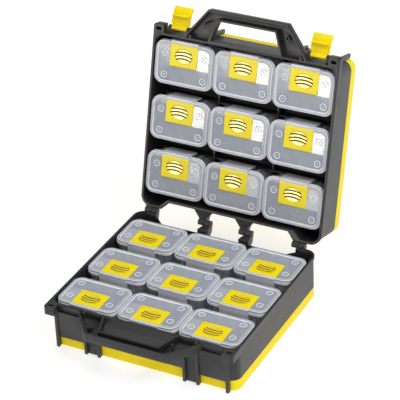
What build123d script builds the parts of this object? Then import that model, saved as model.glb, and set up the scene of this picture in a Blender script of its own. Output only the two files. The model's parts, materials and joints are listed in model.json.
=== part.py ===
from build123d import *
import os
from math import cos, radians, sin

os.makedirs("parts", exist_ok=True)

# All sizes are in millimetres. The case rests on its lower cover with z = 0 on the ground.
# The hinge is at the back, towards +Y, and the handle at the front.

# How the case stands: the upper half is opened by this angle about the main hinge
case_opening = 105.0

# The two halves
body_width = 304.0
front_y = -131.0
back_y = 132.0
half_height = 74.0
parting_gap = 0.2
case_wall = 2.0
case_corner = 16.0
back_bulge = 12.5
bulge_width = 33.0
bulge_slope = 13.0
rim_width = 1.5
rim_height = 5.0
back_wall_drop = 7.8

# The yellow outer covers
cover_height = 18.5
cover_wall = 2.2
cover_edge = 1.2
joint_gap = 0.2
spigot_depth = 2.5
tray_floor = 2.0

# The small boxes: three columns and three rows in each half
columns = 3
rows = 3
column_pitch = 100.0
row_pitch = 88.4
grid_centre_y = 1.5
box_gap = 1.5
lid_depth = 69.0
box_corner = 14.5
outer_corner_flats = 4
inner_corner_flats = 2
box_wall = 1.6
flange_overhang = 2.4
flange_thickness = 1.8
lid_seat_gap = 0.2
floor_clearance = 0.3

# The lids
lid_top = 72.4
lid_height = 6.0
lid_rim = 6.5
panel_drop = 1.2
panel_thickness = 1.6
flap_width = 47.0
flap_drop = 22.0
flap_thickness = 1.6
flap_gap = 0.5

# The thumb slides on the lids
slide_width = 46.0
slide_depth = 35.0
slide_top = 73.0
slide_front = 3.5
slide_gap = 0.1
slide_edge = 0.6
grip_width = 30.0
grip_depth = 17.0
grip_drop = 0.9
grip_sides = 10

# The ribs that keep the boxes in place on the tray floor
rib_height = 20.0
rib_thickness = 2.4
rib_clearance = 0.6

# The main hinge at the back
hinge_y = 151.0
knuckle_radius = 5.0
knuckle_width = 10.6
knuckle_gap = 0.4
hinge_places = (-127.0, -34.0, 36.0, 125.0)
pin_radius = 2.0
pin_clearance = 0.08
knuckle_sides = 16
pin_sides = 12
arm_height = 26.0
arm_thickness = 14.0
upper_gusset_reach = 13.0
lower_gusset_reach = 3.5
gusset_height = 7.0

# The handle, one half on each tray
handle_height = 13.8
handle_root = 102.0
handle_shoulder = 97.5
shoulder_y = -140.0
grip_half_width = 65.0
handle_front_y = -181.0
handle_bar = 15.0
opening_root = 58.0
opening_half_width = 47.0
handle_wall = 3.0
handle_web = 3.4
guide_place = 67.0
guide_y = -160.0
guide_pin_radius = 1.6
guide_pin_rise = 6.0
guide_ring_radius = 4.0
guide_ring_drop = 2.0
guide_clearance = 0.3

# Corner lugs, front ribs and the posts beside the handle
lug_inner = 136.0
lug_front_y = -146.0
lug_height = 13.0
lug_corner = 4.0
lug_wall = 5.0
lug_pocket_width = 9.0
lug_pocket_length = 5.0
lug_pocket_depth = 8.0
front_rib_place = 139.0
front_rib_width = 4.6
front_rib_depth = 6.2
rib_foot = 0.6
cover_clearance = 0.3
post_inner = 68.0
post_outer = 94.0
post_rib_width = 4.4
post_web_depth = 2.8
post_web_foot = 1.2

# The latches
latch_place = 115.5
latch_pivot_y = -140.5
latch_pivot_drop = 12.0
latch_opening = 107.0
latch_width = 31.0
latch_neck_width = 26.0
latch_neck_length = 6.5
neck_overlap = 1.0
latch_length = 34.0
latch_thickness = 2.6
latch_tip_length = 10.4
latch_offset = 1.6
latch_barrel = 3.2
trunnion_radius = 1.5
trunnion_length = 3.4
trunnion_clearance = 0.08
bracket_width = 4.0
bracket_radius = 4.4
bracket_foot = 8.8
bracket_gap = 0.4
tooth_place = 18.0
tooth_length = 3.6
tooth_height = 6.8
tooth_width = 28.0
pad_front_y = -135.5
catch_lip_y = -134.0
catch_lip_width = 34.0
catch_height = 6.6
catch_gap = 0.6

# Sizes that follow from the ones above
rim_top = half_height - parting_gap
lid_width = column_pitch - box_gap
cup_width = lid_width - 2 * flange_overhang
cup_depth = lid_depth - 2 * flange_overhang
cup_corner = box_corner - flange_overhang
lid_bottom = lid_top - lid_height
cup_top = lid_bottom - lid_seat_gap
floor_top = cover_height + tray_floor
cup_bottom = floor_top + floor_clearance
panel_top = lid_top - panel_drop
flap_back_y = -lid_depth / 2 - flap_gap
latch_pivot_z = half_height - latch_pivot_drop
knuckle_step = knuckle_width + knuckle_gap
upper_hinge_places = [-(place - knuckle_step) for place in hinge_places]

# Where a half's own frame stands: the lower half as drawn, the upper half turned over and opened
hinge_line = Location((0, hinge_y, half_height))
turned_over = Location((0, 0, 2 * half_height)) * Location((0, 0, 0), (0, 180, 0))
opened = hinge_line * Location((0, 0, 0), (-case_opening, 0, 0)) * hinge_line.inverse()
half_frames = {"lower": Location(), "upper": opened * turned_over}


def soft_rectangle(width, depth, radius, flats=outer_corner_flats):
    """A rectangle whose round corners are a few short flats, which keeps the many boxes light."""
    points = []
    corners = ((1, 1, 0), (-1, 1, 90), (-1, -1, 180), (1, -1, 270))
    for side_x, side_y, start in corners:
        centre_x = side_x * (width / 2 - radius)
        centre_y = side_y * (depth / 2 - radius)
        for step in range(flats + 1):
            angle = radians(start + 90 * step / flats)
            points.append((centre_x + radius * cos(angle), centre_y + radius * sin(angle)))
    with BuildSketch(mode=Mode.PRIVATE) as outline:
        with BuildLine():
            Polyline(*points, close=True)
        make_face()
    return outline.sketch


def case_outline(inset):
    """Plan of a case half, with rounded corners and two bulges at the back that flank the hinge."""
    side = body_width / 2 - inset
    front = front_y + inset
    back = back_y - inset
    bulge = back + back_bulge
    shoulder = body_width / 2 - bulge_width + inset
    valley = shoulder - bulge_slope
    corner = case_corner - inset
    right = [(side, front), (side, bulge), (shoulder, bulge), (valley, back)]
    left = [(-x, y) for x, y in reversed(right)]
    with BuildSketch(mode=Mode.PRIVATE) as outline:
        with BuildLine():
            Polyline(*right, *left, close=True)
        make_face()
        across = outline.vertices().group_by(Axis.X)
        fillet(across[0] + across[-1], radius=corner)
    return outline.sketch


def plan(points, growth=0.0):
    """The face inside a closed run of points, with its sides moved outwards by the growth."""
    with BuildSketch(mode=Mode.PRIVATE) as outline:
        with BuildLine():
            Polyline(*points, close=True)
        make_face()
        if growth:
            offset(amount=growth, kind=Kind.INTERSECTION, mode=Mode.REPLACE)
    return outline.sketch


def slab(low, high, inset, mode=Mode.ADD):
    """Fill the case outline, drawn in by the inset, between two heights."""
    with BuildSketch(Plane.XY.offset(low)) as profile:
        add(case_outline(inset))
    extrude(profile.sketch, amount=high - low, mode=mode)


def block(low, high, mode=Mode.ADD):
    """A box given by its lowest and highest corners."""
    size = [top - bottom for bottom, top in zip(low, high)]
    middle = [(top + bottom) / 2 for bottom, top in zip(low, high)]
    with Locations(tuple(middle)):
        Box(*size, mode=mode)


def add_shell():
    """The tray's outside: body, a small outer rim and a spigot that plugs into the cover."""
    slab(cover_height, rim_top, 0)
    slab(rim_top - rim_height, rim_top, -rim_width)
    slab(cover_height - spigot_depth, cover_height, cover_wall + joint_gap)


def add_box_ribs():
    """Low ribs on the floor, between the columns and before and behind each middle box."""
    rib_top = floor_top + rib_height
    inner_side = body_width / 2 - case_wall
    inner_front = front_y + case_wall
    inner_back = back_y - case_wall
    for side in (-1, 1):
        middle = side * column_pitch / 2
        block((middle - rib_thickness / 2, inner_front, floor_top),
              (middle + rib_thickness / 2, inner_back, rib_top))
    for row in (-1, 0, 1):
        centre = grid_centre_y + row * row_pitch
        for side in (-1, 1):
            near = centre + side * (cup_depth / 2 + rib_clearance)
            far = near + side * rib_thickness
            if inner_front < min(near, far) and max(near, far) < inner_back:
                block((-inner_side, min(near, far), floor_top), (inner_side, max(near, far), rib_top))


def add_handle():
    """Half of the carrying handle: a bar on two legs, hollow towards the parting plane."""
    bar_inner_y = handle_front_y + handle_bar
    opening_y = front_y - handle_wall
    root_y = front_y + case_wall
    right = [(handle_root, root_y), (handle_shoulder, shoulder_y), (grip_half_width, handle_front_y)]
    outside = right + [(-x, y) for x, y in reversed(right)]
    opening = [(opening_root, opening_y), (opening_half_width, bar_inner_y),
               (-opening_half_width, bar_inner_y), (-opening_root, opening_y)]
    with BuildSketch(Plane.XY.offset(rim_top)) as profile:
        add(plan(outside))
        add(plan(opening), mode=Mode.SUBTRACT)
    extrude(profile.sketch, amount=-handle_height)
    with BuildSketch(Plane.XY.offset(rim_top)) as profile:
        add(plan(outside, -handle_wall))
        add(plan(opening, handle_wall), mode=Mode.SUBTRACT)
    extrude(profile.sketch, amount=handle_web - handle_height, mode=Mode.SUBTRACT)
    add_guides()


def add_guides():
    """A ring in one leg of the handle and a pin in the other, which locate the closed halves."""
    web_top = rim_top - handle_height + handle_web
    with BuildSketch(Plane.XY.offset(web_top)) as profile:
        with Locations((-guide_place, guide_y)):
            RegularPolygon(guide_ring_radius, pin_sides)
            RegularPolygon(guide_pin_radius + guide_clearance, pin_sides, major_radius=False,
                           mode=Mode.SUBTRACT)
    extrude(profile.sketch, amount=rim_top - guide_ring_drop - web_top)
    with BuildSketch(Plane.XY.offset(web_top)) as profile:
        with Locations((guide_place, guide_y)):
            RegularPolygon(guide_pin_radius, pin_sides)
    extrude(profile.sketch, amount=half_height + guide_pin_rise - web_top)


def add_front_ribs():
    """Corner lugs, the single ribs under them and the twin-rib posts, all standing off the cover."""
    rib_back_y = front_y - cover_clearance
    rib_front_y = rib_back_y - front_rib_depth
    under_handle = rim_top - handle_height
    for side in (-1, 1):
        lug_side = side * (body_width / 2 + rim_width)
        lug_low = rim_top - lug_height
        lug_back_y = front_y + case_corner
        with BuildSketch(Plane.XY.offset(lug_low)) as profile:
            with BuildLine():
                Polyline((side * lug_inner, lug_front_y), (lug_side, lug_front_y),
                         (lug_side, lug_back_y), (side * lug_inner, lug_back_y), close=True)
            make_face()
            outer_corner = profile.vertices().sort_by_distance((lug_side, lug_front_y))[0]
            fillet(outer_corner, radius=lug_corner)
        extrude(profile.sketch, amount=lug_height)
        pocket_x = (side * lug_inner + lug_side) / 2
        pocket_y = lug_front_y + lug_wall
        block((pocket_x - lug_pocket_width / 2, pocket_y, rim_top - lug_pocket_depth),
              (pocket_x + lug_pocket_width / 2, pocket_y + lug_pocket_length, rim_top), Mode.SUBTRACT)
        for place, width, top in ((front_rib_place, front_rib_width, lug_low),
                                  (post_inner + post_rib_width / 2, post_rib_width, under_handle),
                                  (post_outer - post_rib_width / 2, post_rib_width, rim_top)):
            left = side * place - width / 2
            block((left, rib_front_y, rib_foot), (left + width, rib_back_y, top))
            block((left, rib_back_y, cover_height), (left + width, front_y + case_wall, top))
        web_left = min(side * post_inner, side * post_outer)
        web_right = max(side * post_inner, side * post_outer)
        block((web_left, rib_back_y - post_web_depth, post_web_foot), (web_right, rib_back_y, under_handle))
        block((web_left, rib_back_y, cover_height), (web_right, front_y + case_wall, under_handle))


def lower_back_wall():
    """Cut the wall between the outer hinge arms down below the lids."""
    left = hinge_places[0] + knuckle_width / 2
    right = hinge_places[-1] - knuckle_width / 2
    block((left, back_y - case_wall, rim_top - back_wall_drop),
          (right, back_y + back_bulge + rim_width, rim_top), Mode.SUBTRACT)


def add_hinge_arms(places, gusset_reach, carries_pin):
    """Knuckles on the hinge line with their arms and gussets, and either moulded pins or bores."""
    rim_arm_y = back_y - case_wall
    rim_side = body_width / 2 + rim_width
    for place in places:
        left = place - knuckle_width / 2
        with BuildSketch(Plane.YZ.offset(left)) as profile:
            with Locations((hinge_y, half_height)):
                RegularPolygon(knuckle_radius, knuckle_sides)
            with BuildLine():
                Polyline((rim_arm_y, rim_top), (hinge_y, rim_top), (hinge_y + knuckle_radius, half_height),
                         (hinge_y, half_height - arm_thickness), (rim_arm_y, rim_top - arm_height),
                         close=True)
            make_face()
        extrude(profile.sketch, amount=knuckle_width)
        reach = knuckle_width / 2 + gusset_reach
        gusset_left = max(place - reach, -rim_side)
        gusset_right = min(place + reach, rim_side)
        with BuildSketch(Plane.XY.offset(rim_top - gusset_height)) as profile:
            with BuildLine():
                Polyline((gusset_left, rim_arm_y), (left, hinge_y - knuckle_radius),
                         (left + knuckle_width, hinge_y - knuckle_radius), (gusset_right, rim_arm_y),
                         close=True)
            make_face()
        extrude(profile.sketch, amount=gusset_height)
    for place in places:
        left = place - knuckle_width / 2
        if carries_pin:
            with BuildSketch(Plane.YZ.offset(left)) as profile:
                with Locations((hinge_y, half_height)):
                    RegularPolygon(pin_radius, pin_sides)
            extrude(profile.sketch, amount=-knuckle_step)
        else:
            with BuildSketch(Plane.YZ.offset(left)) as profile:
                with Locations((hinge_y, half_height)):
                    RegularPolygon(pin_radius + pin_clearance, pin_sides, major_radius=False)
            extrude(profile.sketch, amount=knuckle_width, mode=Mode.SUBTRACT)


def add_catches():
    """Pads on the lower front between post and rib, each below a lip that the latch tooth hooks under."""
    lip_bottom = half_height + latch_pivot_drop - tooth_place + catch_gap
    for side in (-1, 1):
        left = min(side * post_outer, side * front_rib_place)
        right = max(side * post_outer, side * front_rib_place)
        block((left, pad_front_y, cover_height), (right, front_y + case_wall, lip_bottom - catch_height))
        middle = side * latch_place
        block((middle - catch_lip_width / 2, catch_lip_y, lip_bottom),
              (middle + catch_lip_width / 2, front_y + case_wall, rim_top))


def add_latch_brackets():
    """Two bored ears for each latch, standing off the front of the upper tray."""
    inner = latch_neck_width / 2 + bracket_gap
    for side in (-1, 1):
        for ear in (-1, 1):
            middle = side * latch_place + ear * (inner + bracket_width / 2)
            with BuildSketch(Plane.YZ.offset(middle - bracket_width / 2)) as profile:
                with Locations((latch_pivot_y, latch_pivot_z)):
                    RegularPolygon(bracket_radius, knuckle_sides)
                with BuildLine():
                    Polyline((latch_pivot_y, latch_pivot_z + bracket_radius),
                             (front_y + case_wall, latch_pivot_z + bracket_radius),
                             (front_y + case_wall, latch_pivot_z - bracket_foot),
                             (latch_pivot_y, latch_pivot_z - bracket_radius), close=True)
                make_face()
                with Locations((latch_pivot_y, latch_pivot_z)):
                    RegularPolygon(trunnion_radius + trunnion_clearance, pin_sides,
                                   major_radius=False, mode=Mode.SUBTRACT)
            extrude(profile.sketch, amount=bracket_width)


def make_tray(is_lower):
    """One dark half. Both come from nearly one mould, and differ at the hinge and at the latches."""
    with BuildPart() as tray:
        add_shell()
        if is_lower:
            lower_back_wall()
            add_hinge_arms(hinge_places, lower_gusset_reach, True)
            add_catches()
        else:
            add_hinge_arms(upper_hinge_places, upper_gusset_reach, False)
            add_latch_brackets()
        add_handle()
        add_front_ribs()
        slab(floor_top, rim_top, case_wall, Mode.SUBTRACT)
        add_box_ribs()
    return tray.part


def make_cover():
    """The yellow shell that closes the outside of a half."""
    with BuildPart() as cover:
        slab(0, cover_height - joint_gap, 0)
        chamfer(cover.faces().sort_by(Axis.Z)[0].edges(), length=cover_edge)
        slab(cover_wall, cover_height - joint_gap, cover_wall, Mode.SUBTRACT)
    return cover.part


def make_latch():
    """A latch in its open position, centred on its pivot: barrel, trunnions, plate, tooth and tip."""
    lean = radians(latch_opening - 90)
    along = (0, -cos(lean), -sin(lean))
    side_plane = Plane(origin=(0, latch_pivot_y, latch_pivot_z), x_dir=along, z_dir=(-1, 0, 0))
    outer_face = latch_offset - latch_thickness
    tooth_tip = latch_offset + tooth_height
    neck_end = latch_neck_length + neck_overlap
    tip_start = latch_length - latch_tip_length
    with BuildPart() as latch:
        with BuildSketch(side_plane):
            RegularPolygon(latch_barrel, knuckle_sides)
            with BuildLine():
                Polyline((0, latch_offset), (neck_end, latch_offset), (neck_end, outer_face),
                         (0, outer_face), close=True)
            make_face()
        extrude(amount=latch_neck_width / 2, both=True)
        with BuildSketch(side_plane):
            RegularPolygon(trunnion_radius, pin_sides)
        extrude(amount=latch_neck_width / 2 + trunnion_length, both=True)
        with BuildSketch(side_plane):
            with BuildLine():
                Polyline((latch_neck_length, latch_offset), (tip_start + latch_thickness, latch_offset),
                         (latch_length, outer_face), (latch_length, outer_face - latch_thickness),
                         (tip_start, outer_face), (latch_neck_length, outer_face), close=True)
            make_face()
        extrude(amount=latch_width / 2, both=True)
        with BuildSketch(side_plane):
            with BuildLine():
                Polyline((tooth_place, outer_face), (tooth_place, tooth_tip),
                         (tooth_place + tooth_length / 2, tooth_tip),
                         (tooth_place + tooth_length, latch_offset),
                         (tooth_place + tooth_length, outer_face), close=True)
            make_face()
        extrude(amount=tooth_width / 2, both=True)
    return latch.part


def make_cup():
    """A box without its lid, in the half's own heights, centred on the lid's outline."""
    with BuildPart() as cup:
        with BuildSketch(Plane.XY.offset(cup_bottom)):
            add(soft_rectangle(cup_width, cup_depth, cup_corner))
        extrude(amount=cup_top - cup_bottom)
        with BuildSketch(Plane.XY.offset(cup_top - flange_thickness)):
            add(soft_rectangle(lid_width, lid_depth, box_corner))
        extrude(amount=flange_thickness)
        with BuildSketch(Plane.XY.offset(cup_bottom + box_wall)):
            add(soft_rectangle(cup_width - 2 * box_wall, cup_depth - 2 * box_wall,
                               cup_corner - box_wall, inner_corner_flats))
        extrude(amount=cup_top - cup_bottom - box_wall, mode=Mode.SUBTRACT)
    return cup.part


def make_lid():
    """A lid: skirt, raised rim, sunk panel, a way for the slide and the flap at the front."""
    with BuildPart() as lid:
        with BuildSketch(Plane.XY.offset(lid_bottom)):
            add(soft_rectangle(lid_width, lid_depth, box_corner))
        extrude(amount=lid_height)
        with BuildSketch(Plane.XY.offset(lid_bottom)):
            add(soft_rectangle(lid_width - 2 * flange_overhang, lid_depth - 2 * flange_overhang,
                               cup_corner, inner_corner_flats))
        extrude(amount=lid_height - panel_drop - panel_thickness, mode=Mode.SUBTRACT)
        with BuildSketch(Plane.XY.offset(lid_top)):
            add(soft_rectangle(lid_width - 2 * lid_rim, lid_depth - 2 * lid_rim, box_corner - lid_rim))
        extrude(amount=-panel_drop, mode=Mode.SUBTRACT)
        slide_side = slide_width / 2 + slide_gap
        slide_front_y = -lid_depth / 2 + slide_front
        block((-slide_side, slide_front_y - slide_gap, panel_top),
              (slide_side, slide_front_y + slide_depth, lid_top), Mode.SUBTRACT)
        flap_side = flap_width / 2
        flap_front_y = flap_back_y - flap_thickness
        block((-flap_side, flap_front_y, lid_bottom - flap_drop), (flap_side, flap_back_y, lid_top))
        block((-flap_side, flap_back_y, lid_bottom), (flap_side, -lid_depth / 2 + flange_overhang, lid_top))
    return lid.part


def make_slide():
    """The yellow thumb plate with chamfered edges and an oval finger grip."""
    slide_low = panel_top + slide_gap
    middle_y = -lid_depth / 2 + slide_front + slide_depth / 2
    with BuildPart() as slide:
        with BuildSketch(Plane.XY.offset(slide_low)):
            with Locations((0, middle_y)):
                Rectangle(slide_width, slide_depth)
        extrude(amount=slide_top - slide_low)
        chamfer(slide.faces().sort_by(Axis.Z)[-1].edges(), length=slide_edge)
        oval = [(grip_width / 2 * cos(radians(360 * side / grip_sides)),
                 middle_y + grip_depth / 2 * sin(radians(360 * side / grip_sides)))
                for side in range(grip_sides)]
        with BuildSketch(Plane.XY.offset(slide_top)):
            with BuildLine():
                Polyline(*oval, close=True)
            make_face()
        extrude(amount=-grip_drop, mode=Mode.SUBTRACT)
    return slide.part


def write(shape, name, place=Location()):
    """Put a shape at its place in the case, name it and write it."""
    with BuildPart() as piece:
        with Locations(place):
            add(shape)
    piece.part.label = name
    export_step(piece.part, f"parts/{name}.step")


cup_shape = make_cup()
lid_shape = make_lid()
slide_shape = make_slide()
latch_shape = make_latch()

for half, frame in half_frames.items():
    write(make_tray(half == "lower"), f"{half}_tray", frame)
    write(make_cover(), f"{half}_cover", frame)
    for row in range(rows):
        for column in range(columns):
            across = (column - (columns - 1) / 2) * column_pitch
            if half == "upper":
                across = -across
            back = grid_centre_y + (row - (rows - 1) / 2) * row_pitch
            place = frame * Location((across, back, 0))
            number = f"{half}_{row + 1}_{column + 1}"
            write(cup_shape, f"cup_{number}", place)
            write(lid_shape, f"lid_{number}", place)
            write(slide_shape, f"slide_{number}", place)

for side, name in ((1, "left_latch"), (-1, "right_latch")):
    write(latch_shape, name, half_frames["upper"] * Location((side * latch_place, 0, 0)))
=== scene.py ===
import json
from math import cos, hypot, pi, radians, sin

import bmesh
import bpy
from mathutils import Matrix, Vector


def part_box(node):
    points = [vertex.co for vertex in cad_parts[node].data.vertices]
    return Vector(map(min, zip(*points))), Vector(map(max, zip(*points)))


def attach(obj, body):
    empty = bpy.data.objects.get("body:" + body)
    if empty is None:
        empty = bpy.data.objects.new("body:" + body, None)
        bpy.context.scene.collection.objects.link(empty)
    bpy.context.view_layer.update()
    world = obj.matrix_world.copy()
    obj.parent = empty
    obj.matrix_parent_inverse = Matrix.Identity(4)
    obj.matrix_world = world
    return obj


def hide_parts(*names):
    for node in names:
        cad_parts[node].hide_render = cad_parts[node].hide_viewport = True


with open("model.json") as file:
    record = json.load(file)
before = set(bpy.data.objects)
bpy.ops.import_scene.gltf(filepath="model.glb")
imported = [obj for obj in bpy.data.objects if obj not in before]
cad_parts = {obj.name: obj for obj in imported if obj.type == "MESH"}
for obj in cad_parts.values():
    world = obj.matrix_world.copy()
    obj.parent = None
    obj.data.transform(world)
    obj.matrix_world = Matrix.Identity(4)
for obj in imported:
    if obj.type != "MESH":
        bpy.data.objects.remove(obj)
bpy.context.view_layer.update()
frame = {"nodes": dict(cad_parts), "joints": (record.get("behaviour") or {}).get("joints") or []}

MM = 0.001
UP = Vector((0, 0, 1))

# The case in metres, as the frame gives it. Heights of a half run from its cover up to its open side.
joints = {joint["name"]: joint for joint in frame["joints"]}
hinge_point = Vector(joints["case_hinge"]["pos_m"])
case_opening = radians(-min(joints["case_hinge"]["range_deg"]))
half_height = hinge_point.z

turn_over = Matrix.Translation(2 * half_height * UP) @ Matrix.Rotation(pi, 4, "Y")
open_up = (Matrix.Translation(hinge_point) @ Matrix.Rotation(-case_opening, 4, "X")
           @ Matrix.Translation(-hinge_point))
half_frames = {"lower": Matrix.Identity(4), "upper": open_up @ turn_over}

# One box, measured on the cup, lid and slide in the middle of the lower half
lid_low, lid_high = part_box("lid_lower_2_2")
cup_low, cup_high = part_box("cup_lower_2_2")
slide_low, slide_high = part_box("slide_lower_2_2")
lid_gap = 0.2 * MM
slide_gap = 0.1 * MM
box_centre_y = (cup_low.y + cup_high.y) / 2
lid_width = cup_high.x - cup_low.x
lid_depth = cup_high.y - cup_low.y
cup_bottom = cup_low.z
cup_top = cup_high.z
lid_bottom = cup_top + lid_gap
lid_top = lid_high.z
panel_top = slide_low.z - slide_gap
slide_top = slide_high.z
slide_front = slide_low.y - box_centre_y
slide_back = slide_high.y - box_centre_y
slide_middle = (slide_front + slide_back) / 2
slide_width = slide_high.x - slide_low.x
flap_front = lid_low.y - box_centre_y
flap_bottom = lid_low.z

corner_radius = 14.5 * MM
least_radius = 1.2 * MM
corner_steps = 8
flange_overhang = 2.4 * MM
wall = 1.6 * MM

# Cup: profiles are pairs of inset and height in millimetres
cup_taper = 0.6 * MM
cup_foot = ((2.2, 0.0), (0.7, 0.6), (0.0, 2.2))
cup_floor = ((0.0, 2.0), (0.7, 0.5), (2.2, 0.0))
flange_depth = 1.8 * MM
rib_places = (-33, -30, 30, 33)
rib_half = 0.5 * MM
rib_proud = 0.7 * MM

# Lid
lid_rim = 6.5 * MM
panel_edge = 0.3 * MM
panel_crown = 0.6 * MM
panel_steps = 8
window_width = 36 * MM
window_depth = 25 * MM
window_radius = 2 * MM
window_shift = 1.5 * MM
pad_slope = 0.034
pad_lift = 0.1 * MM
pad_gap = 0.6 * MM
pad_inset = 0.2 * MM
boss_places = ((-34 * MM, -14.5 * MM), (32 * MM, -14.5 * MM), (-34 * MM, 19.5 * MM), (32 * MM, 19.5 * MM))
boss_profile = ((5.6, -0.2), (5.3, 0.25), (4.7, 0.45), (4.2, 0.25), (3.9, -0.2))
dimple_profile = ((1.9, -0.15), (1.6, 0.2), (1.0, 0.25))
flap_width = 47 * MM
flap_lip = 3.0 * MM

# Slide and its finger recess. Steps and reaches in the recess are shares of its half depth and half width.
plate_height = 1.7 * MM
plate_edge = 0.7 * MM
plate_edge_drop = 0.6 * MM
plate_edge_step = 0.25 * MM
roll_depth = 3.2 * MM
roll_drop = 0.5 * MM
plate_cells = 3
grip_cells = 64
grip_width = 31 * MM
grip_depth = 24 * MM
grip_drop = 1.3 * MM
grip_slope = 0.06
grip_bend = 0.26
grip_start = -1.3
grip_edge = 0.12
grip_border = 0.97
groove_steps = (-0.56, -0.12, 0.32)
groove_drop = 0.4 * MM
groove_reach = 0.08
# Reach of the dark painted shade on each side of a groove
painted_groove_shade_reach = 0.085

# Latch mouldings, as places along the latch from its pivot
latch_inner_face = 1.6 * MM
latch_half_width = 15.2 * MM
latch_ring_place = 12.2 * MM
latch_ring = ((3.6, -0.1), (3.4, 0.35), (2.9, 0.45), (2.4, 0.35), (2.2, -0.1))
root_ridge = (6.9 * MM, 8.1 * MM)
side_ridge = (7.2 * MM, 18.0 * MM)
tip_ridge = (25.4 * MM, 26.6 * MM)

# Rounding of the case's edges
tray_rounding = 0.65 * MM
cover_rounding = 0.9 * MM
latch_rounding = 0.45 * MM
flat_angle = 1.0
rounded_angle = 25


# Materials

MIX_FACTOR, MIX_FIRST, MIX_SECOND, MIX_RESULT = 0, 6, 7, 2


def new_material(name):
    """A node material with its node and link collections and its shader."""
    material = bpy.data.materials.new(name)
    material.use_nodes = True
    nodes = material.node_tree.nodes
    return material, nodes, material.node_tree.links, nodes["Principled BSDF"]


def add_node(nodes, kind, **values):
    """A shader node with its inputs set by name."""
    node = nodes.new(kind)
    for key, value in values.items():
        node.inputs[key.replace("_", " ")].default_value = value
    return node


def add_ramp(nodes, places, colours):
    """A ramp between two colours at two places."""
    node = nodes.new("ShaderNodeValToRGB")
    for element, place, colour in zip(node.color_ramp.elements, places, colours):
        element.position = place
        element.color = (*colour, 1)
    return node


def moulded_plastic(name, colour, roughness, grain, edge_highlight, coat=0.0, specular=0.5):
    """Moulded plastic: fine grain, slow changes of tone and gloss, and edges lightened by pointiness as a
    painted highlight.
    """
    material, nodes, links, shader = new_material(name)
    place = nodes.new("ShaderNodeTexCoord")
    cloud = add_node(nodes, "ShaderNodeTexNoise", Scale=38.0, Detail=4.0, Roughness=0.6)
    links.new(place.outputs["Object"], cloud.inputs["Vector"])
    tone = add_ramp(nodes, (0.3, 0.75), ([c * 0.92 for c in colour], [min(1, c * 1.06) for c in colour]))
    links.new(cloud.outputs["Fac"], tone.inputs["Fac"])
    # Pointiness mask that turns convex edges towards the lighter colour: a painted highlight
    shape = nodes.new("ShaderNodeNewGeometry")
    edge = add_node(nodes, "ShaderNodeMapRange", From_Min=0.52, From_Max=0.62, To_Min=0.0, To_Max=1.0)
    links.new(shape.outputs["Pointiness"], edge.inputs["Value"])
    mix = nodes.new("ShaderNodeMix")
    mix.data_type = "RGBA"
    links.new(edge.outputs["Result"], mix.inputs[MIX_FACTOR])
    links.new(tone.outputs["Color"], mix.inputs[MIX_FIRST])
    mix.inputs[MIX_SECOND].default_value = (*edge_highlight, 1)
    links.new(mix.outputs[MIX_RESULT], shader.inputs["Base Color"])
    gloss = add_node(nodes, "ShaderNodeMapRange", To_Min=roughness - 0.05, To_Max=roughness + 0.07)
    links.new(cloud.outputs["Fac"], gloss.inputs["Value"])
    links.new(gloss.outputs["Result"], shader.inputs["Roughness"])
    pores = add_node(nodes, "ShaderNodeTexNoise", Scale=1400.0, Detail=2.0)
    links.new(place.outputs["Object"], pores.inputs["Vector"])
    bump = add_node(nodes, "ShaderNodeBump", Strength=grain, Distance=0.0002)
    links.new(pores.outputs["Fac"], bump.inputs["Height"])
    links.new(bump.outputs["Normal"], shader.inputs["Normal"])
    shader.inputs["Coat Weight"].default_value = coat
    shader.inputs["Coat Roughness"].default_value = 0.15
    shader.inputs["Specular IOR Level"].default_value = specular
    return material


def clear_plastic(name, colour, alpha, roughness, haze=0.02, specular=0.5):
    """Clear moulded plastic: part of the light goes straight through, the rest is scattered by a haze."""
    material, nodes, links, shader = new_material(name)
    place = nodes.new("ShaderNodeTexCoord")
    flow = add_node(nodes, "ShaderNodeTexNoise", Scale=45.0, Detail=3.0, Distortion=0.6)
    links.new(place.outputs["Object"], flow.inputs["Vector"])
    veil = add_node(nodes, "ShaderNodeMapRange", From_Min=0.3, From_Max=0.7, To_Min=alpha - haze,
                    To_Max=alpha + haze)
    links.new(flow.outputs["Fac"], veil.inputs["Value"])
    links.new(veil.outputs["Result"], shader.inputs["Alpha"])
    tone = add_ramp(nodes, (0.35, 0.7), ((colour[0] * 0.9, colour[1] * 0.92, colour[2]), colour))
    links.new(flow.outputs["Fac"], tone.inputs["Fac"])
    links.new(tone.outputs["Color"], shader.inputs["Base Color"])
    ripple = add_node(nodes, "ShaderNodeTexNoise", Scale=90.0, Detail=1.0)
    links.new(place.outputs["Object"], ripple.inputs["Vector"])
    bump = add_node(nodes, "ShaderNodeBump", Strength=0.02, Distance=0.0005)
    links.new(ripple.outputs["Fac"], bump.inputs["Height"])
    links.new(bump.outputs["Normal"], shader.inputs["Normal"])
    shader.inputs["Roughness"].default_value = roughness
    shader.inputs["IOR"].default_value = 1.49
    shader.inputs["Specular IOR Level"].default_value = specular
    return material


dark = moulded_plastic("dark_plastic", colour=(0.017, 0.017, 0.018), roughness=0.40, grain=0.25,
                       edge_highlight=(0.035, 0.036, 0.038), specular=0.38)
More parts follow.
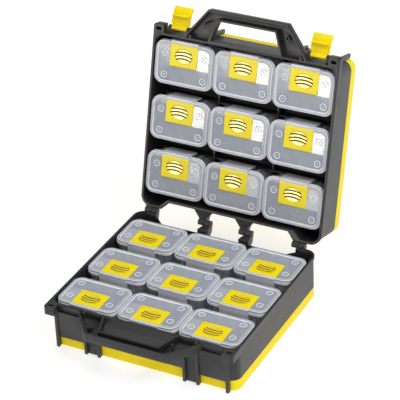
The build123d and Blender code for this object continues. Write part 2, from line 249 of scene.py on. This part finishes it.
# Lighter plastic for the rounded edges of the trays: a painted highlight
dark_edge_highlight = moulded_plastic("dark_edge_highlight", colour=(0.095, 0.096, 0.100), roughness=0.32, grain=0.15,
                            edge_highlight=(0.14, 0.14, 0.145), coat=0.1)
yellow = moulded_plastic("yellow_plastic", colour=(0.96, 0.73, 0.0), roughness=0.42, grain=0.12,
                         edge_highlight=(1.0, 0.84, 0.01), coat=0.05, specular=0.16)
plate_yellow = moulded_plastic("plate_yellow", colour=(0.98, 0.78, 0.0), roughness=0.36, grain=0.08,
                               edge_highlight=(1.0, 0.90, 0.06), coat=0.08, specular=0.2)
clear_panel = clear_plastic("clear_panel", colour=(0.66, 0.70, 0.77), alpha=0.40, roughness=0.10)
clear_pad = clear_plastic("clear_pad", colour=(0.68, 0.72, 0.78), alpha=0.48, roughness=0.10, specular=1.0)
clear_rim = clear_plastic("clear_rim", colour=(0.80, 0.82, 0.85), alpha=0.56, roughness=0.18)
# Near-white, nearly opaque plastic on the lid's rim edges, the cup's flange top, the ring bosses, the pad's
# sides and the flap's ribs: a painted highlight
clear_highlight_line = clear_plastic("clear_highlight_line", colour=(0.96, 0.97, 0.98), alpha=0.90, roughness=0.22)
clear_wall = clear_plastic("clear_wall", colour=(0.62, 0.66, 0.70), alpha=0.20, roughness=0.14, haze=0.04)
clear_flap = clear_plastic("clear_flap", colour=(0.84, 0.82, 0.82), alpha=0.82, roughness=0.28)
# Darker, glossier yellow for the finger recess and for the latch's ring and tip ridge: a painted shade
painted_shade_yellow = moulded_plastic("painted_shade_yellow", colour=(0.90, 0.68, 0.0), roughness=0.22, grain=0.02,
                             edge_highlight=(0.95, 0.74, 0.0), coat=0.7, specular=0.4)
# Near-black yellow-brown for faces along the recess grooves: a painted shade
groove_painted_shade = moulded_plastic("groove_painted_shade", colour=(0.055, 0.035, 0.0), roughness=0.5, grain=0.05,
                              edge_highlight=(0.08, 0.05, 0.0), specular=0.1)

# The order of the materials on a cup or a lid, and on a yellow piece
BODY, RIM, HIGHLIGHT, FLAP, PAD = range(5)
PLAIN, PAINTED_SHADE, GROOVE = range(3)
cup_materials = [clear_wall, clear_rim, clear_highlight_line]
lid_materials = [clear_panel, clear_rim, clear_highlight_line, clear_flap, clear_pad]
slide_materials = [plate_yellow, painted_shade_yellow, groove_painted_shade]
latch_materials = [yellow, painted_shade_yellow]


# Mesh tools

def rounded(width, depth, radius, z):
    """Points of a rounded rectangle at one height, counter-clockwise from the right."""
    points = []
    for side_x, side_y, start in ((1, 1, 0), (-1, 1, 90), (-1, -1, 180), (1, -1, 270)):
        for step in range(corner_steps + 1):
            angle = radians(start + 90 * step / corner_steps)
            points.append(Vector((side_x * (width / 2 - radius) + radius * cos(angle),
                                  side_y * (depth / 2 - radius) + radius * sin(angle), z)))
    return points


def inset_ring(inset, z):
    """The lid's outline at one height, drawn in by the inset."""
    return rounded(lid_width - 2 * inset, lid_depth - 2 * inset, max(corner_radius - inset, least_radius), z)


def circle(x, y, radius, z, count):
    """Points of a circle at one height."""
    angles = [2 * pi * i / count for i in range(count)]
    return [Vector((x + radius * cos(angle), y + radius * sin(angle), z)) for angle in angles]


def loft(mesh, rings, material, cap_start=False, cap_end=False):
    """Join closed rings of equal length with quads. Material is one index, or one for each band."""
    bands = [material] * (len(rings) - 1) if isinstance(material, int) else material
    rows = [[mesh.verts.new(point) for point in ring] for ring in rings]
    for band, low, high in zip(bands, rows, rows[1:]):
        for i in range(len(low)):
            j = (i + 1) % len(low)
            mesh.faces.new((low[i], low[j], high[j], high[i])).material_index = band
    if cap_start:
        mesh.faces.new(list(reversed(rows[0]))).material_index = bands[0]
    if cap_end:
        mesh.faces.new(rows[-1]).material_index = bands[-1]


def add_turned(mesh, x, y, foot, profile, count, material, cap_end=False):
    """A small round form, from pairs of radius and height over its foot in millimetres."""
    rings = [circle(x, y, radius * MM, foot + height * MM, count) for radius, height in profile]
    loft(mesh, rings, material, cap_end=cap_end)


def add_bar(mesh, low, high, material, bevel, segments):
    """A block between two corners with rounded edges."""
    made = bmesh.ops.create_cube(mesh, size=1.0)["verts"]
    for vert in made:
        for axis in range(3):
            vert.co[axis] = high[axis] if vert.co[axis] > 0 else low[axis]
    for face in {face for vert in made for face in vert.link_faces}:
        face.material_index = material
    edges = {edge for vert in made for edge in vert.link_edges}
    bmesh.ops.bevel(mesh, geom=list(edges), offset=bevel, segments=segments, profile=0.5,
                    affect="EDGES", clamp_overlap=True)


def finish_mesh(mesh, name, materials, smooth_angle=35):
    """Turn the working mesh into named mesh data with smooth shading up to an angle."""
    bmesh.ops.recalc_face_normals(mesh, faces=mesh.faces)
    data = bpy.data.meshes.new(name)
    mesh.to_mesh(data)
    mesh.free()
    for material in materials:
        data.materials.append(material)
    data.shade_smooth()
    data.set_sharp_from_angle(angle=radians(smooth_angle))
    return data


def place_piece(name, data, body, matrix, slot, *nodes):
    """Show mesh data as a piece on a body, standing for the nodes that it replaces."""
    piece = bpy.data.objects.new(name, data)
    bpy.context.scene.collection.objects.link(piece)
    piece.matrix_world = matrix
    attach(piece, body)
    if nodes:
        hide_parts(*nodes)


# The boxes

def make_cup():
    """A clear cup: rounded foot, slightly narrower towards the floor, flange on top, ribs on its front."""
    outer = flange_overhang
    inner = outer + wall
    flange = ((outer, flange_depth), (0.25 * MM, flange_depth), (0.0, 1.5 * MM), (0.0, 0.3 * MM),
              (0.3 * MM, 0.0), (inner - 0.3 * MM, 0.0), (inner, 0.4 * MM))
    outside = [inset_ring(outer + cup_taper + inset * MM, cup_bottom + height * MM)
               for inset, height in cup_foot]
    top = [inset_ring(inset, cup_top - drop) for inset, drop in flange]
    inside = [inset_ring(inner + cup_taper + inset * MM, cup_bottom + wall + height * MM)
              for inset, height in cup_floor]
    # The flange's top bands take the near-white line material, a painted highlight
    bands = [BODY, BODY, BODY, RIM, HIGHLIGHT, HIGHLIGHT, HIGHLIGHT, RIM, BODY, BODY, BODY, BODY]
    mesh = bmesh.new()
    loft(mesh, outside + top + inside, bands, cap_start=True, cap_end=True)
    front = -lid_depth / 2 + flange_overhang
    for place in rib_places:
        add_bar(mesh, (place * MM - rib_half, front - rib_proud, cup_bottom + 8 * MM),
                (place * MM + rib_half, front + 0.5 * MM, cup_top - 2.2 * MM), RIM, 0.25 * MM, 1)
    return finish_mesh(mesh, "cup_mesh", cup_materials)


def make_lid():
    """A clear lid: stepped skirt, raised rim whose edges carry a painted highlight, sunk panel, pad, ring
    bosses and flap.
    """
    profile = ((flange_overhang, lid_top - 2.8 * MM),
               (flange_overhang, lid_bottom + 0.3 * MM),
               (0.4 * MM, lid_bottom),
               (0.0, lid_bottom + 0.4 * MM),
               (0.0, lid_bottom + 1.7 * MM),
               (0.8 * MM, lid_bottom + 2.3 * MM),
               (0.8 * MM, lid_top - 1.4 * MM),
               (1.1 * MM, lid_top - 0.5 * MM),
               (2.0 * MM, lid_top),
               (lid_rim - 1.1 * MM, lid_top),
               (lid_rim - 0.4 * MM, lid_top - 0.25 * MM),
               (lid_rim, panel_top),
               (lid_rim + panel_edge, panel_top))
    bands = [RIM, RIM, HIGHLIGHT, HIGHLIGHT, HIGHLIGHT, RIM, RIM, HIGHLIGHT, RIM, HIGHLIGHT, HIGHLIGHT, BODY]
    mesh = bmesh.new()
    loft(mesh, [inset_ring(inset, height) for inset, height in profile], bands)
    add_panel(mesh)
    add_pad(mesh)
    for x, y in boss_places:
        add_boss(mesh, x, y)
    add_flap(mesh)
    bmesh.ops.remove_doubles(mesh, verts=mesh.verts, dist=1e-6)
    return finish_mesh(mesh, "lid_mesh", lid_materials)


def crown(x, y):
    """Height of the slightly domed panel above its edge."""
    return panel_crown * (1 - (2 * x / lid_width) ** 2) * (1 - (2 * y / lid_depth) ** 2)


def add_panel(mesh):
    """The domed panel's two faces, as rings that shrink from the rim to the window under the plate."""
    outer = inset_ring(lid_rim + panel_edge, panel_top)
    window = [point + Vector((0, slide_middle - window_shift, 0))
              for point in rounded(window_width, window_depth, window_radius, panel_top)]
    for drop in (0.0, wall):
        rings = []
        for step in range(panel_steps + 1):
            share = step / panel_steps
            ring = []
            for far, near in zip(outer, window):
                x = far.x + (near.x - far.x) * share
                y = far.y + (near.y - far.y) * share
                rise = crown(x, y) - crown(far.x, far.y) * (1 - share)
                ring.append(Vector((x, y, panel_top + rise - drop)))
            rings.append(ring)
        loft(mesh, rings, BODY)


def pad_height(y):
    """Height of the raised pad's sloping top."""
    return panel_top + pad_lift + pad_slope * (y + lid_depth / 2 - lid_rim)


def add_pad(mesh):
    """The raised pad beside the plate, which rises a little from the front rim to its crisp back edge."""
    side = -slide_width / 2 - pad_gap
    corner = [point for point in inset_ring(lid_rim + pad_inset, 0.0) if point.x < side and point.y < 0]
    outline = [Vector((side, slide_back, 0)), Vector((corner[0].x, slide_back, 0)), *corner,
               Vector((side, corner[-1].y, 0))]
    base = [Vector((point.x, point.y, panel_top - 0.2 * MM)) for point in outline]
    top = [Vector((point.x, point.y, pad_height(point.y))) for point in outline]
    # The pad's sides take the near-white line material, a painted highlight
    loft(mesh, [base, top], HIGHLIGHT)
    mesh.faces.new([mesh.verts.new(point) for point in top]).material_index = PAD


def add_boss(mesh, x, y):
    """A small ring with a painted highlight that stands up from the panel or the pad, with a shallow dimple
    inside.
    """
    on_pad = x < -slide_width / 2 and y < slide_back
    foot = pad_height(y) if on_pad else panel_top + crown(x, y)
    add_turned(mesh, x, y, foot, boss_profile, 24, HIGHLIGHT)
    add_turned(mesh, x, y, foot, dimple_profile, 16, RIM, cap_end=True)


def add_flap(mesh):
    """The flap in front of the cup, with its thicker lip along the top and a rib down each side."""
    half = flap_width / 2
    back = flap_front + wall
    lip_bottom = lid_top - flap_lip
    add_bar(mesh, (-half, flap_front, flap_bottom), (half, back, lip_bottom + 0.4 * MM), FLAP, 0.4 * MM, 2)
    add_bar(mesh, (-half, flap_front, lip_bottom), (half, -lid_depth / 2 + 3.2 * MM, lid_top - 0.05 * MM),
            FLAP, 0.7 * MM, 3)
    # The side ribs take the near-white line material, a painted highlight
    for side in (-1, 1):
        edge = side * (half - 0.7 * MM)
        add_bar(mesh, (edge - rib_half, flap_front, flap_bottom + 0.4 * MM),
                (edge + rib_half, back + 0.5 * MM, lip_bottom), HIGHLIGHT, 0.2 * MM, 1)


def grip_place(x, y):
    """Where a point lies in the finger recess: its reach from the middle and its step from front to back."""
    u = x / (grip_width / 2)
    v = (y - slide_middle) / (grip_depth / 2)
    return hypot(u, v), v - grip_bend * u * u


def grip_height(x, y):
    """Height in the finger recess: an oval scoop whose floor is four terraces, each rising to the back."""
    reach, step = grip_place(x, y)
    if reach >= 1:
        return 0.0
    share = min(1.0, (1 - reach) / grip_edge)
    start = max([place for place in groove_steps if place <= step], default=grip_start)
    rise = grip_slope * (step - start) * grip_depth / 2
    groove = sum(max(0.0, 1 - abs(step - place) / groove_reach) for place in groove_steps)
    return -(grip_drop - rise + groove_drop * groove) * (share * share * (3 - 2 * share))


def grip_material(x, y):
    """The plate's own yellow outside the recess, a glossier and darker one inside as painted shade, and
    near-black in the grooves as painted shade.
    """
    reach, step = grip_place(x, y)
    if reach >= grip_border:
        return PLAIN
    return GROOVE if any(abs(step - place) < painted_groove_shade_reach for place in groove_steps) else PAINTED_SHADE


def plate_height_at(x, y):
    """Height of the plate's top: rounded edges, rolled front and finger recess."""
    near = min(slide_width / 2 - abs(x), y - slide_front, slide_back - y)
    edge = roll = 0.0
    if near < plate_edge:
        share = 1 - near / plate_edge
        edge = -plate_edge_drop * (1 - max(0.0, 1 - share * share) ** 0.5)
    if y - slide_front < roll_depth:
        roll = -roll_drop * (1 - sin(pi / 2 * min(1, (y - slide_front) / roll_depth))) ** 1.5
    return slide_top + edge + roll + grip_height(x, y)


def plate_lines(low, high, grip_low, grip_high):
    """Grid lines across the plate: close at its two edges, wide on its margins and fine in the recess."""
    first, last = low + plate_edge, high - plate_edge
    before = [first + (grip_low - first) * i / plate_cells for i in range(1, plate_cells)]
    middle = [grip_low + (grip_high - grip_low) * i / grip_cells for i in range(grip_cells + 1)]
    after = [grip_high + (last - grip_high) * i / plate_cells for i in range(1, plate_cells)]
    return [low, low + plate_edge_step, first, *before, *middle, *after, last, high - plate_edge_step, high]


def make_slide():
    """The yellow plate: rolled front, rounded edges and a finger recess with curved steps."""
    half = slide_width / 2
    reach_x, reach_y = grip_width / 2 + 0.2 * MM, grip_depth / 2 + 0.2 * MM
    across = plate_lines(-half, half, -reach_x, reach_x)
    along = plate_lines(slide_front, slide_back, slide_middle - reach_y, slide_middle + reach_y)
    mesh = bmesh.new()
    grid = [[mesh.verts.new((x, y, plate_height_at(x, y))) for x in across] for y in along]
    for low, high in zip(grid, grid[1:]):
        for i in range(len(low) - 1):
            face = mesh.faces.new((low[i], low[i + 1], high[i + 1], high[i]))
            centre = face.calc_center_median()
            face.material_index = grip_material(centre.x, centre.y)
    rim = [*grid[0], *[row[-1] for row in grid[1:-1]], *reversed(grid[-1]),
           *[row[0] for row in reversed(grid[1:-1])]]
    foot = [mesh.verts.new((vert.co.x, vert.co.y, slide_top - plate_height)) for vert in rim]
    for i in range(len(rim)):
        j = (i + 1) % len(rim)
        mesh.faces.new((rim[i], foot[i], foot[j], rim[j]))
    return finish_mesh(mesh, "slide_mesh", slide_materials, 50)


box_parts = (("cup", make_cup(), "clear_plastic"), ("lid", make_lid(), "clear_plastic"),
             ("slide", make_slide(), "yellow_plastic"))
for half, half_frame in half_frames.items():
    for row in (1, 2, 3):
        for column in (1, 2, 3):
            number = f"{half}_{row}_{column}"
            low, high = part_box(f"cup_{number}")
            centre = half_frame.inverted() @ ((low + high) / 2)
            place = half_frame @ Matrix.Translation((centre.x, centre.y, 0))
            for kind, data, slot in box_parts:
                node = f"{kind}_{number}"
                place_piece(f"{node}_look", data, node, place, slot, node)


# The two halves of the case and the latches

def show_softened(node, body, materials, slot, radius):
    """Replace a node by its own shape with whole flat faces and rounded edges in the last material; on the
    trays that last material is a lighter plastic, a painted highlight.
    """
    mesh = bmesh.new()
    mesh.from_mesh(frame["nodes"][node].data)
    bmesh.ops.remove_doubles(mesh, verts=mesh.verts, dist=1e-6)
    bmesh.ops.dissolve_limit(mesh, angle_limit=radians(flat_angle), verts=mesh.verts, edges=mesh.edges)
    least = radians(rounded_angle)
    edges = [edge for edge in mesh.edges if edge.is_manifold and edge.calc_face_angle(0) > least]
    bmesh.ops.bevel(mesh, geom=edges, offset=radius, segments=2, profile=0.5, affect="EDGES",
                    clamp_overlap=True, harden_normals=False, material=len(materials) - 1)
    data = finish_mesh(mesh, f"{node}_mesh", materials, 32)
    place_piece(f"{node}_look", data, body, Matrix.Identity(4), slot, node)


def make_latch_trim():
    """Small mouldings on a latch. In its own frame X runs along it, Y across and Z out of its inner face."""
    half = latch_half_width
    mesh = bmesh.new()
    # The ring and the tip ridge take the darker yellow, a painted shade
    add_turned(mesh, latch_ring_place, 0, 0, latch_ring, 24, PAINTED_SHADE)
    add_bar(mesh, (root_ridge[0], -half, -0.1 * MM), (root_ridge[1], half, 0.7 * MM), PLAIN, 0.3 * MM, 2)
    add_bar(mesh, (tip_ridge[0], -half, -2.4 * MM), (tip_ridge[1], half, -0.4 * MM), PAINTED_SHADE, 0.3 * MM, 2)
    for side in (-1, 1):
        edge = side * (half - rib_half)
        add_bar(mesh, (side_ridge[0], edge - rib_half, -0.1 * MM),
                (side_ridge[1], edge + rib_half, 0.6 * MM), PLAIN, 0.25 * MM, 2)
    return finish_mesh(mesh, "latch_trim_mesh", latch_materials)


for half in half_frames:
    show_softened(f"{half}_tray", f"{half}_case", [dark, dark_edge_highlight], "dark_plastic", tray_rounding)
    show_softened(f"{half}_cover", f"{half}_case", [yellow], "yellow_plastic", cover_rounding)
for name in ("left_latch", "right_latch"):
    show_softened(name, name, [yellow], "yellow_plastic", latch_rounding)

latch_trim = make_latch_trim()
for name in ("left_latch", "right_latch"):
    pivot = joints[f"{name}_pivot"]
    lean = radians(-min(pivot["range_deg"])) - pi / 2
    turn = half_frames["upper"].to_3x3()
    along = turn @ Vector((0, -cos(lean), -sin(lean)))
    outward = turn @ Vector((0, -sin(lean), cos(lean)))
    place = Matrix((along, outward.cross(along), outward)).transposed().to_4x4()
    place.translation = Vector(pivot["pos_m"]) + latch_inner_face * outward
    place_piece(f"{name}_trim", latch_trim, name, place, "yellow_plastic")


# Floor, light and camera

def make_floor():
    """A wide pale floor just under the case, bright enough to fade into the background."""
    half_size, drop = 12.0, 0.5 * MM
    corners = [(-half_size, -half_size, -drop), (half_size, -half_size, -drop),
               (half_size, half_size, -drop), (-half_size, half_size, -drop)]
    data = bpy.data.meshes.new("floor")
    data.from_pydata(corners, [], [(0, 1, 2, 3)])
    material, _, _, shader = new_material("floor")
    shader.inputs["Base Color"].default_value = (0.55, 0.55, 0.55, 1)
    shader.inputs["Roughness"].default_value = 0.9
    shader.inputs["Emission Color"].default_value = (1, 1, 1, 1)
    shader.inputs["Emission Strength"].default_value = 0.66
    data.materials.append(material)
    floor = bpy.data.objects.new("floor", data)
    bpy.context.scene.collection.objects.link(floor)


def add_softbox(name, place, target, width, height, power, colour=(1, 1, 1)):
    """A rectangular lamp that faces its target."""
    light = bpy.data.lights.new(name, "AREA")
    light.shape = "RECTANGLE"
    light.size = width
    light.size_y = height
    light.energy = power
    light.color = colour
    lamp = bpy.data.objects.new(name, light)
    lamp.location = place
    aim = Vector(target) - Vector(place)
    lamp.rotation_euler = aim.to_track_quat("-Z", "Y").to_euler()
    bpy.context.scene.collection.objects.link(lamp)
    return lamp


def make_lights():
    """Soft studio light, and a far card that only the glossy surfaces reflect."""
    world = bpy.data.worlds.new("studio")
    world.use_nodes = True
    background = world.node_tree.nodes["Background"]
    background.inputs["Color"].default_value = (1.0, 1.0, 1.0, 1)
    background.inputs["Strength"].default_value = 0.40
    bpy.context.scene.world = world
    middle = (0, 0.1, 0.15)
    add_softbox("key", place=(1.9, -0.6, 2.3), target=middle, width=1.3, height=1.0, power=36)
    add_softbox("top", place=(-0.3, 0.2, 2.6), target=middle, width=1.8, height=1.8, power=18)
    add_softbox("front", place=(-1.6, -2.6, 1.0), target=middle, width=1.2, height=1.2, power=3)
    card = add_softbox("card", place=(-5.4, -10.5, 1.12), target=(0, 0.2, 0.25), width=4.4, height=1.84,
                       power=430, colour=(1.0, 0.95, 0.80))
    card.visible_diffuse = False
    card.visible_transmission = False


def make_camera():
    """The photograph's camera: place, direction, a small roll and a long lens."""
    azimuth, elevation, roll = radians(28.394), radians(31.589), radians(-2.5845)
    forward = Vector((-sin(azimuth) * cos(elevation), cos(azimuth) * cos(elevation), -sin(elevation)))
    right = forward.cross(UP).normalized()
    up = right.cross(forward)
    side = cos(roll) * right + sin(roll) * up
    head = -sin(roll) * right + cos(roll) * up
    data = bpy.data.cameras.new("camera")
    data.sensor_width = 36.0
    data.lens = 180.25
    data.clip_start = 0.1
    camera = bpy.data.objects.new("camera", data)
    matrix = Matrix((side, head, -forward)).transposed().to_4x4()
    matrix.translation = (1.197, -2.150, 1.722)
    camera.matrix_world = matrix
    bpy.context.scene.collection.objects.link(camera)
    bpy.context.scene.camera = camera


make_floor()
make_lights()
make_camera()
bpy.context.scene.view_settings.view_transform = "Standard"
